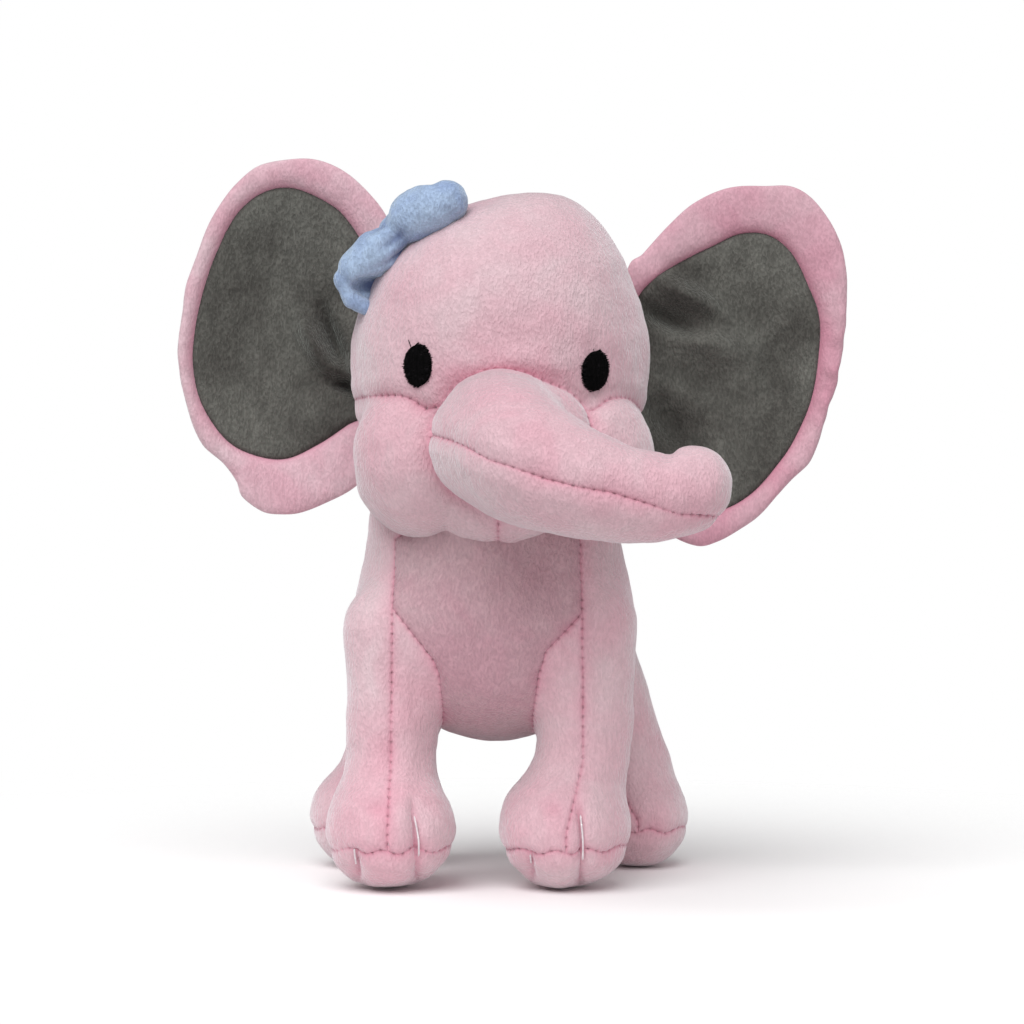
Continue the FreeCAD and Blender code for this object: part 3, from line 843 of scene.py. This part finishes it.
def toe_dents(p):
    """How far the front feet are pulled in at their toe clefts, and the shade painted into their colour
    there.
    """
    shift, cleft_shade = np.zeros(len(p)), np.zeros(len(p))
    for name, offsets in CLEFTS.items():
        foot = LEGS[name]["foot"]
        on_foot = (np.abs(p[:, 0] - foot[0]) < 26) & (p[:, 2] < 42)
        front = np.clip((foot[1] - 2 - p[:, 1]) / 9, 0, 1) * on_foot
        for offset, high in zip(offsets, (17.0, 34.0)):
            d = np.abs(p[:, 0] - foot[0] - cleft_run(offset, p[:, 2]))
            fade = front * np.clip((high - p[:, 2]) / 6, 0, 1)
            shift -= (1.9 * np.exp(-(d / 1.1) ** 1.3) + 1.1 * np.exp(-(d / 4.0) ** 2)) * fade
            # painted shade down in the cleft
            cleft_shade += 0.6 * np.exp(-(d / 1.6) ** 1.3) * fade
        q = (p - np.array([foot[0] - 4.5, foot[1] - 17, 29])) / np.array([3.4, 9, 2.6])
        dimple = np.exp(-(q ** 2).sum(1))
        shift -= 1.7 * dimple
        # painted shade in the dimple
        cleft_shade += 0.5 * dimple
    return shift, cleft_shade


def make_toe_threads():
    """The white thread that pulls each cleft in, lying along it."""
    for name, offsets in CLEFTS.items():
        leg = LEGS[name]
        foot = np.array(leg["foot"], float)
        parts = []
        for offset, low, high in zip(offsets, (-0.85, -0.62), (-0.45, 0.42)):
            angle = np.linspace(low, high, 24)
            z = foot[2] + 24 * np.sin(angle)
            x = foot[0] + cleft_run(offset, z)
            ring = np.stack([x, foot[1] - 34 * np.cos(angle), z], 1)
            # drawn in to lie just under the foot's surface
            for _ in range(12):
                d = leg_field(ring, leg) + 1.3
                g = gradient(lambda q: leg_field(q, leg), ring)
                g[:, 0] = 0
                g /= np.linalg.norm(g, axis=1)[:, None] + 1e-9
                ring = ring - g * d[:, None]
            parts.append(thread(ring, 0.34))
        v, f = join(parts)
        obj = mesh_object(name + "_toe_thread_loops", v, f, WHITE)
        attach(obj, name)
        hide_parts(name + "_toe_threads")


# ---- eyes ---------------------------------------------------------------------------------
def on_face(eye, x, z, lift):
    """Points of the face at x, z from the eye's middle, along its own axes, seen from the front."""
    turn = math.radians(eye["tilt"])
    across = eye["x"] + x * math.cos(turn) - z * math.sin(turn)
    up = eye["z"] + x * math.sin(turn) + z * math.cos(turn)
    p = np.stack([across, np.full(len(x), -70.0), up], 1)
    for _ in range(60):
        p[:, 1] += np.clip(head_field(p) - lift, -6, 6) * 0.9
    return p


def make_eye(side):
    """Satin stitch: rows of thread side by side over a black bed, with a few loose ends."""
    eye = EYES[side]
    half_w, half_h = eye["w"] / 2, eye["h"] / 2
    r = np.random.default_rng(3 if side == "right" else 4)
    parts = []
    rows = 40
    for k in range(rows):
        t = -1 + 2 * (k + 0.5) / rows
        half = math.sqrt(1 - t * t) * half_w + r.uniform(-0.25, 0.3)
        s = np.linspace(-1, 1, 13)
        z = t * half_h + 0.22 * s * r.uniform(-1, 1) + 0.5 * s
        dome = 0.75 * np.sqrt(np.clip(1 - s ** 2 * 0.98, 0, 1)) * math.sqrt(1 - t * t * 0.9)
        p = on_face(eye, half * s, z, 0.1)
        parts.append(thread(p + gradient(head_field, p) * dome[:, None], 0.24))
    for k in range(14):
        a = r.uniform(0, 6.28)
        s = np.linspace(0, 1, 6)
        x = math.cos(a) * half_w * 0.9 * (1 + 0.2 * s) + r.uniform(-0.4, 0.4) * s
        z = math.sin(a) * half_h * 0.93 * (1 + 0.12 * s) + r.uniform(-0.5, 0.5) * s
        parts.append(thread(on_face(eye, x, z, 0.35), 0.1, 5))
    if side == "right":
        s = np.linspace(0, 1, 8)
        parts.append(thread(on_face(eye, -1.9 - 0.7 * s, 6.2 + 2.6 * s, 0.4), 0.16, 5))
    angle = np.linspace(0, 2 * math.pi, 49)[:-1]
    rings = []
    for q in np.linspace(0.02, 0.97, 9):
        p = on_face(eye, np.cos(angle) * half_w * q, np.sin(angle) * half_h * q, 0.1)
        rings.append(p + gradient(head_field, p) * (0.55 * math.sqrt(1 - q * q)))
    parts.append(grid_mesh(np.array(rings)))
    v, f = join(parts)
    obj = mesh_object(f"eye_{side}_satin_stitch", v, f, BLACK)
    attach(obj, "head")
    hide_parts(f"eye_{side}")


# ---- ears ---------------------------------------------------------------------------------
EAR_Y, EAR_CUP_R = 24.0, 110.0
FOLD_DEPTH = 2.4
EAR_POINTS = 420          # round an ear
# outlines as (x, z); folds are (from, to, width, height), towards the front where above zero
EARS = {
    "right": dict(
        rim=LIT_RIM, hinge=-45.5, centre=(-76, 191), middle=-81.0, sign=-1, pucker=0.35,
        outline=[(-40, 214), (-43, 229), (-52, 241), (-62, 248.5), (-74, 251.5), (-88, 249),
                 (-97, 242), (-104, 232), (-109, 222), (-113, 210), (-116.3, 193), (-116.5, 177),
                 (-113.5, 163), (-108.5, 150.5), (-101, 144), (-96.6, 138), (-94.6, 132.5),
                 (-88, 127.7), (-82, 126.5), (-74.5, 127), (-66, 130),
                 (-55, 136), (-46, 146), (-42, 165), (-41, 190)],
        lining=[(-50, 216), (-58, 230), (-66, 236.5), (-77.5, 241), (-88, 239), (-97, 231),
                (-104, 217), (-108.5, 203), (-111, 190), (-111.5, 178), (-108.5, 165),
                (-100.5, 153), (-91, 147.5), (-79.5, 146), (-68, 151), (-58, 157.5),
                (-47, 165), (-43, 190)],
        folds=[((-74, 195), (-66, 178), 3.0, 2.8), ((-67, 199), (-57, 173), 2.6, -2.4),
               ((-63, 173), (-52, 169), 2.6, -2.4), ((-64, 179), (-50, 175), 3.0, 1.8),
               ((-62, 214), (-48, 196), 5.0, 1.6), ((-57, 205), (-46, 190), 4.0, -2.0)]),
    "left": dict(
        rim=RIM, hinge=36.5, centre=(75, 184), middle=76.5, sign=1, pucker=1.0,
        outline=[(40, 211), (46, 218), (55, 228), (64, 236), (75, 241), (88, 242), (98, 241.5),
                 (106, 236), (113, 225), (116.5, 210), (116.3, 190), (114, 176), (111.2, 165),
                 (108.3, 154.5), (104, 144), (97.5, 138), (93, 132.5), (88, 127.5), (81, 122),
                 (72, 117), (64, 115.5), (53, 121), (44, 133), (38, 150), (36, 180)],
        lining=[(43, 200), (50, 209), (60, 215.5), (70, 220.5), (80, 225), (90, 224.5),
                (98, 218), (103.5, 207), (107.5, 195), (107, 180), (104.5, 166), (99, 153),
                (93, 144), (84, 134), (73, 128), (60, 128), (48, 138), (40, 155), (39, 180)],
        folds=[((52, 208), (73, 197), 4.0, 2.6), ((45, 199), (66, 190), 3.6, -3.2),
               ((56, 192), (84, 181), 5.0, 2.2), ((46, 168), (64, 150), 7.0, -3.0),
               ((50, 180), (78, 168), 6.0, -1.2), ((84, 200), (96, 160), 9.0, -1.2)]),
}


def radial(points, centre, angles):
    """Distance from centre to the closed curve through points, in each direction."""
    line = spline(points, 720, closed=True) - np.array(centre)
    a = np.arctan2(line[:, 1], line[:, 0])
    order = np.argsort(a)
    a, r = a[order], np.hypot(line[:, 0], line[:, 1])[order]
    return np.interp(angles, np.concatenate([a - 2 * math.pi, a, a + 2 * math.pi]), np.tile(r, 3))


def ear_mid(p2, ear):
    """Depth of the ear's middle sheet at x, z: cupped, and folded near its root."""
    x, z = p2[..., 0], p2[..., 1]
    dx = np.clip(np.abs(x - ear["middle"]), 0, 60)
    y = EAR_Y + 5.7 - (EAR_CUP_R - np.sqrt(EAR_CUP_R ** 2 - dx ** 2))
    rise = (z - 190) / 60
    y = y - 3.0 * rise ** 2 * np.clip(np.abs(rise), 0, 1.2)
    for start, end, width, height in ear["folds"]:
        y = y - FOLD_DEPTH * height * ridge(p2, start, end, width)
    return y


def ear_sheet(ear, seed):
    """Rings of points (x, z) from an ear's middle to its edge, the number of them on the lining, and
    for each ring or point the front's thickness, the shade painted in its creases, how far out it is,
    and its pucker."""
    sign = ear["sign"]
    angles = np.linspace(-math.pi, math.pi, EAR_POINTS, endpoint=False)
    r_in = radial(ear["lining"], ear["centre"], angles)
    r_out = radial(ear["outline"], ear["centre"], angles)
    ring = np.stack([np.cos(angles), np.sin(angles), np.zeros(EAR_POINTS)], 1)
    away = np.clip((np.cos(angles) * sign + 0.35) * 2, 0, 1)
    # the turned edge of the rim puckers, most of all low on the outer side
    low = np.exp(-((np.arctan2(np.sin(angles), np.cos(angles) * sign) + 0.7) / 0.75) ** 2)
    pucker = noise(ring * 58, 9.5, seed + 9) * away * (0.35 + low) * ear["pucker"]
    r_out = r_out + (0.35 * noise(ring * 40, 16, seed) + 0.4 * pucker) * away
    centre = np.array(ear["centre"], float)
    direction = np.stack([np.cos(angles), np.sin(angles)], 1)

    lining_q = 1 - (1 - np.linspace(0.02, 1, 70)) ** 1.5 * 0.98
    rim_q = 0.5 - 0.5 * np.cos(np.linspace(0, 1, 30) * math.pi)
    rows, thick, crease_shade, outer = [], [], [], []
    for q in lining_q:
        rows.append(centre + direction * (r_in * q)[:, None])
        gap = (1 - q) * r_in
        thick.append(2.7 - 1.5 * np.exp(-gap / 1.1))
        # painted shade where the lining dips under the rim
        crease_shade.append(0.7 * np.exp(-gap / 0.9))
        outer.append(0.0)
    for q in rim_q[1:]:
        gap = (r_out - r_in) * q
        rows.append(centre + direction * (r_in + gap)[:, None])
        full = np.sqrt(np.clip(1 - q ** 3, 0, 1))
        thick.append((1.2 + 2.5 * (1 - np.exp(-gap / 1.7))) * full)
        # painted shade inside the rim's turn and in its puckers
        crease_shade.append(0.9 * np.exp(-gap / 1.7) + 0.3 * np.clip(-pucker, 0, 2) * q)
        outer.append(q)
    rows, thick, crease_shade = np.array(rows), np.array(thick), np.array(crease_shade)
    outer = np.array(outer)[:, None]
    n_in = len(lining_q)
    # painted shade down the folds' valleys
    for start, end, width, height in ear["folds"]:
        if height < 0:
            crease_shade[:n_in] += 0.45 * ridge(rows[:n_in], start, end, 0.7 * width)
    return rows, n_in, thick, crease_shade, outer, pucker


def make_ear(side):
    ear = EARS[side]
    seed = 31 if side == "right" else 32
    rows, n_in, thick, crease_shade, outer, pucker = ear_sheet(ear, seed)
    back_thick = 3.0 * np.sqrt(np.clip(1 - outer ** 4, 0, 1)) * np.ones(EAR_POINTS)
    for key, part, face, half, mat, slot in (
            ("lining", slice(0, n_in), -1, thick, GREY, "grey_plush"),
            ("rim", slice(n_in - 1, None), -1, thick, ear["rim"], "rim_pink_plush"),
            ("back_panel", slice(0, None), 1, back_thick, ear["rim"], "rim_pink_plush")):
        p2 = rows[part]
        p = np.stack([p2[..., 0], ear_mid(p2, ear), p2[..., 1]], -1)
        flat = p.reshape(-1, 3)
        wobble = 0.35 * noise(flat, 13, seed + 5) + 0.1 * noise(flat, 5, seed + 6)
        swell = half[part] * (1 + 0.1 * wobble.reshape(p.shape[:2]))
        p[..., 1] += face * swell + outer[part] * pucker * 0.9
        v, f = grid_mesh(p)
        tint = crease_shade[part].ravel() if face < 0 else np.zeros(swell.size)
        if part.start == 0:
            # closes the small hole in the middle
            v = np.concatenate([v, p[0].mean(0)[None]])
            k = np.arange(EAR_POINTS)
            fan = np.stack([np.full(EAR_POINTS, len(v) - 1), (k + 1) % EAR_POINTS, k], 1)
            f = np.concatenate([f, fan])
            tint = np.append(tint, 0.0)
        if (vertex_normals(v, f)[:, 1].mean() < 0) != (face < 0):
            f = f[:, ::-1]
        obj = mesh_object(f"ear_{side}_{key}_cloth", v, f, mat, None, {"crease_shade": tint})
        soft_piece([f"ear_{side}_{key}"]
                   + ([f"ear_{side}_padding"] if key == "lining" else []))
        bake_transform(obj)


# ---- bow ----------------------------------------------------------------------------------
BOW_PINCH = np.array([-38.5, -7.0, 217.0])


def bow_upper(p):
    """The loop towards the crown, fullest in its middle, with a notch in its upper edge."""
    line = [(-38.5, -7.5, 221.5, 6.4), (-33.0, -9.5, 226.3, 9.0), (-27.0, -11.5, 229.0, 8.8),
            (-21.8, -12.5, 231.2, 7.2)]
    d = tube(p, line)
    return d + 1.0 * ridge(p, (-29, -8, 240), (-27, -16, 235), 2.2)


def bow_lower(p):
    """The other loop, open towards the face: an upper fold, a lower one, and the rim that joins
    them round the hollow."""
    upper = tube(p, [(-39.6, -8.5, 219.5, 5.6), (-46.0, -9.5, 214.0, 7.6),
                     (-52.0, -8.5, 209.3, 6.6), (-56.0, -7.5, 205.5, 4.0)])
    lower = tube(p, [(-41.0, 0.5, 207.5, 4.0), (-46.0, -0.5, 202.5, 6.4), (-50.5, -1.5, 201, 6.2)])
    rim = tube(p, [(-56.2, -8.0, 205.5, 3.4), (-53.8, -8.5, 198.5, 3.0), (-48.5, -8.0, 195.6, 2.4),
                   (-44.0, -5.0, 197.5, 2.0)])
    hollow = ellipsoid(p, (-47.5, -11.5, 203.2), (6.2, 6.0, 3.4))
    return smooth_max(smooth_min(smooth_min(upper, rim, 1.5), smooth_min(lower, rim, 1.0), 0.3),
                      -hollow, 1.2)


def bow_knot(p):
    """The band round the bow's middle, mostly hidden between the loops."""
    return ellipsoid(p, BOW_PINCH + np.array([1.5, 2.5, -3.0]), (4.2, 5.0, 6.0))


def make_bow():
    for name, field, seed in (("bow_loop_upper", bow_upper, 51), ("bow_loop_lower", bow_lower, 53),
                              ("bow_band", bow_knot, 55)):
        v, f = surface(field, (-64, -30, 190), (-8, 12, 244), 0.6)
        n = gradient(field, v)
        away = np.linalg.norm(v - BOW_PINCH, axis=1)
        spoke = np.arctan2((v - BOW_PINCH) @ np.array([0.3, -0.9, 0.3]),
                           (v - BOW_PINCH) @ np.array([-0.6, 0.0, 0.8]))
        pleat = np.cos(spoke * 7) * np.exp(-((away - 7) / 6) ** 2)
        v = v + n * (0.4 * pleat + 0.2 * noise(v, 9, seed) + 0.06 * noise(v, 3, seed + 1))[:, None]
        # painted shade near the pinch between the loops and in the pleats' valleys
        crease_shade = 0.9 * np.exp(-(away / 7.5) ** 2) + 0.35 * np.clip(-pleat, 0, 1)
        if name == "bow_loop_lower":
            # painted shade down in the lower loop's hollow
            crease_shade += 0.9 * ridge(v, (-52, -6, 203.2), (-42, -5, 204.5), 3.2)
        obj = mesh_object(name + "_plush", v, f, BLUE, None, {"crease_shade": crease_shade})
        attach(obj, "head")
        if name == "bow_band":
            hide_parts(name)
        else:
            soft_piece([name])


# ---- tail ---------------------------------------------------------------------------------
def make_tail():
    line = spline([(-6, 75, 93, 5.4), (-6, 82, 86, 4.9), (-6, 87, 72, 4.4), (-6, 89, 58, 4.3),
                   (-6, 88.5, 50, 4.0)], 20)

    def field(p):
        return tube(p, line)
    v, f = surface(field, (-14, 66, 42), (2, 96, 102), 0.9)
    under = v[:, 1] - np.interp(v[:, 2], line[::-1, 2], line[::-1, 1])
    seam = np.exp(-(np.hypot(v[:, 0] + 6, np.minimum(under, 0)) / 0.9)) * (under < 0)
    n = gradient(field, v)
    v = v + n * (0.2 * noise(v, 8, 61) + 0.06 * noise(v, 3, 62) - 0.6 * seam)[:, None]
    # painted shade along the seam's groove underneath
    obj = mesh_object("tail_plush", v, f, PINK, None, {"crease_shade": seam})
    soft_piece(["tail_skin", "tail_stuffing"])
    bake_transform(obj)


# ---- everything ---------------------------------------------------------------------------
make_camera()
make_stage()
make_head()
make_body()
make_toe_threads()
for eye_side in EYES:
    make_eye(eye_side)
for ear_side in EARS:
    make_ear(ear_side)
make_bow()
make_tail()
